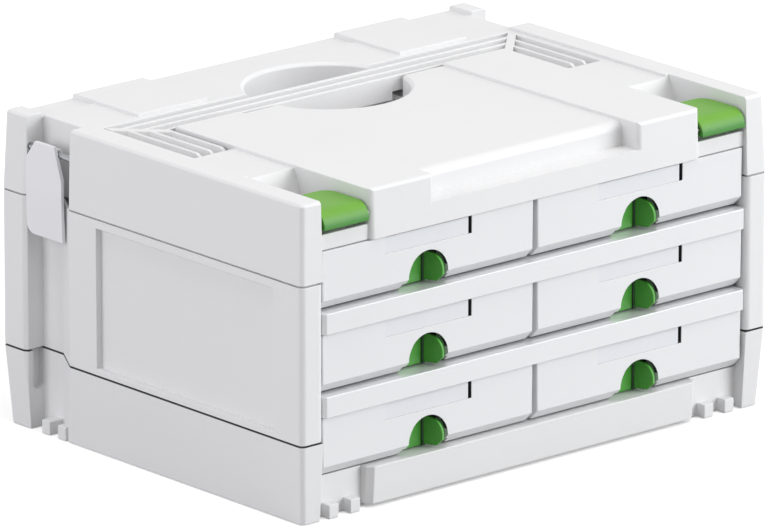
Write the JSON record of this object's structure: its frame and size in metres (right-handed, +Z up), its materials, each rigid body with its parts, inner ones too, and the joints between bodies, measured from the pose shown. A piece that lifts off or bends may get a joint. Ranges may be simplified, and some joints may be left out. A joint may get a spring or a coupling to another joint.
{
  "type": "drawer organizer case",
  "caption": "Stackable tool-case organizer with a fold-down carry handle, coupling latches and drawers with finger levers and label strips in two columns.",
  "frame": {"origin": "centre of the bottom of the bounding box, where the case rests on the floor", "axes": "+Z up, +X along the width to the right of someone facing the drawers, -Y is the drawer front"},
  "size_m": [0.396, 0.296, 0.21],
  "materials": {
    "case_plastic": "satin, fine grain",
    "drawer_plastic": "satin",
    "green_plastic": "satin gloss",
    "label_card": "matt paper card",
    "steel_pin": "bright drawn"
  },
  "bodies": {
    "case": {"base_shell": "case_plastic", "base_deck": "case_plastic", "body_shell": "case_plastic", "lower_shelf": "case_plastic", "upper_shelf": "case_plastic", "lid_shell": "case_plastic", "front_latch_pins": "steel_pin", "side_latch_pins": "steel_pin"},
    "drawer_bottom_left": {"drawer_bottom_left": "drawer_plastic", "label_card_bottom_left": "label_card", "dividers_bottom_left": "drawer_plastic"},
    "lever_bottom_left": {"finger_lever_bottom_left": "green_plastic"},
    "drawer_bottom_right": {"drawer_bottom_right": "drawer_plastic", "label_card_bottom_right": "label_card", "dividers_bottom_right": "drawer_plastic"},
    "lever_bottom_right": {"finger_lever_bottom_right": "green_plastic"},
    "drawer_middle_left": {"drawer_middle_left": "drawer_plastic", "label_card_middle_left": "label_card", "dividers_middle_left": "drawer_plastic"},
    "lever_middle_left": {"finger_lever_middle_left": "green_plastic"},
    "drawer_middle_right": {"drawer_middle_right": "drawer_plastic", "label_card_middle_right": "label_card", "dividers_middle_right": "drawer_plastic"},
    "lever_middle_right": {"finger_lever_middle_right": "green_plastic"},
    "drawer_top_left": {"drawer_top_left": "drawer_plastic", "label_card_top_left": "label_card", "dividers_top_left": "drawer_plastic"},
    "lever_top_left": {"finger_lever_top_left": "green_plastic"},
    "drawer_top_right": {"drawer_top_right": "drawer_plastic", "label_card_top_right": "label_card", "dividers_top_right": "drawer_plastic"},
    "lever_top_right": {"finger_lever_top_right": "green_plastic"},
    "front_latch_left": {"front_latch_left": "green_plastic"},
    "side_latch_left": {"side_latch_left": "case_plastic"},
    "front_latch_right": {"front_latch_right": "green_plastic"},
    "side_latch_right": {"side_latch_right": "case_plastic"},
    "handle": {"carry_handle": "case_plastic"}
  },
  "joints": [
    {"name": "drawer_bottom_left_slide", "type": "slide", "parent": "case", "child": "drawer_bottom_left", "axis": [0, -1, 0], "range_m": [0, 0.24]},
    {"name": "lever_bottom_left_hinge", "type": "hinge", "parent": "drawer_bottom_left", "child": "lever_bottom_left", "pos_m": [-0.08407, -0.1332, 0.0412], "axis": [0, 0, 1], "range_deg": [0, 8], "stiffness_Nm_per_rad": 0.01},
    {"name": "drawer_bottom_right_slide", "type": "slide", "parent": "case", "child": "drawer_bottom_right", "axis": [0, -1, 0], "range_m": [0, 0.24]},
    {"name": "lever_bottom_right_hinge", "type": "hinge", "parent": "drawer_bottom_right", "child": "lever_bottom_right", "pos_m": [0.09607, -0.1332, 0.0412], "axis": [0, 0, 1], "range_deg": [0, 8], "stiffness_Nm_per_rad": 0.01},
    {"name": "drawer_middle_left_slide", "type": "slide", "parent": "case", "child": "drawer_middle_left", "axis": [0, -1, 0], "range_m": [0, 0.24]},
    {"name": "lever_middle_left_hinge", "type": "hinge", "parent": "drawer_middle_left", "child": "lever_middle_left", "pos_m": [-0.08407, -0.1332, 0.0957], "axis": [0, 0, 1], "range_deg": [0, 8], "stiffness_Nm_per_rad": 0.01},
    {"name": "drawer_middle_right_slide", "type": "slide", "parent": "case", "child": "drawer_middle_right", "axis": [0, -1, 0], "range_m": [0, 0.24]},
    {"name": "lever_middle_right_hinge", "type": "hinge", "parent": "drawer_middle_right", "child": "lever_middle_right", "pos_m": [0.09607, -0.1332, 0.0957], "axis": [0, 0, 1], "range_deg": [0, 8], "stiffness_Nm_per_rad": 0.01},
    {"name": "drawer_top_left_slide", "type": "slide", "parent": "case", "child": "drawer_top_left", "axis": [0, -1, 0], "range_m": [0, 0.24]},
    {"name": "lever_top_left_hinge", "type": "hinge", "parent": "drawer_top_left", "child": "lever_top_left", "pos_m": [-0.08407, -0.1332, 0.1502], "axis": [0, 0, 1], "range_deg": [0, 8], "stiffness_Nm_per_rad": 0.01},
    {"name": "drawer_top_right_slide", "type": "slide", "parent": "case", "child": "drawer_top_right", "axis": [0, -1, 0], "range_m": [0, 0.24]},
    {"name": "lever_top_right_hinge", "type": "hinge", "parent": "drawer_top_right", "child": "lever_top_right", "pos_m": [0.09607, -0.1332, 0.1502], "axis": [0, 0, 1], "range_deg": [0, 8], "stiffness_Nm_per_rad": 0.01},
    {"name": "front_latch_left_hinge", "type": "hinge", "parent": "case", "child": "front_latch_left", "pos_m": [-0.16, -0.1425, 0.1945], "axis": [1, 0, 0], "range_deg": [0, 90]},
    {"name": "side_latch_left_hinge", "type": "hinge", "parent": "case", "child": "side_latch_left", "pos_m": [-0.193, 0.1052, 0.1895], "axis": [0, 1, 0], "range_deg": [0, 160]},
    {"name": "front_latch_right_hinge", "type": "hinge", "parent": "case", "child": "front_latch_right", "pos_m": [0.16, -0.1425, 0.1945], "axis": [1, 0, 0], "range_deg": [0, 90]},
    {"name": "side_latch_right_hinge", "type": "hinge", "parent": "case", "child": "side_latch_right", "pos_m": [0.193, 0.1052, 0.1895], "axis": [0, -1, 0], "range_deg": [0, 160]},
    {"name": "handle_hinge", "type": "hinge", "parent": "case", "child": "handle", "pos_m": [0, -0.0061, 0.2005], "axis": [1, 0, 0], "range_deg": [0, 95]}
  ]
}
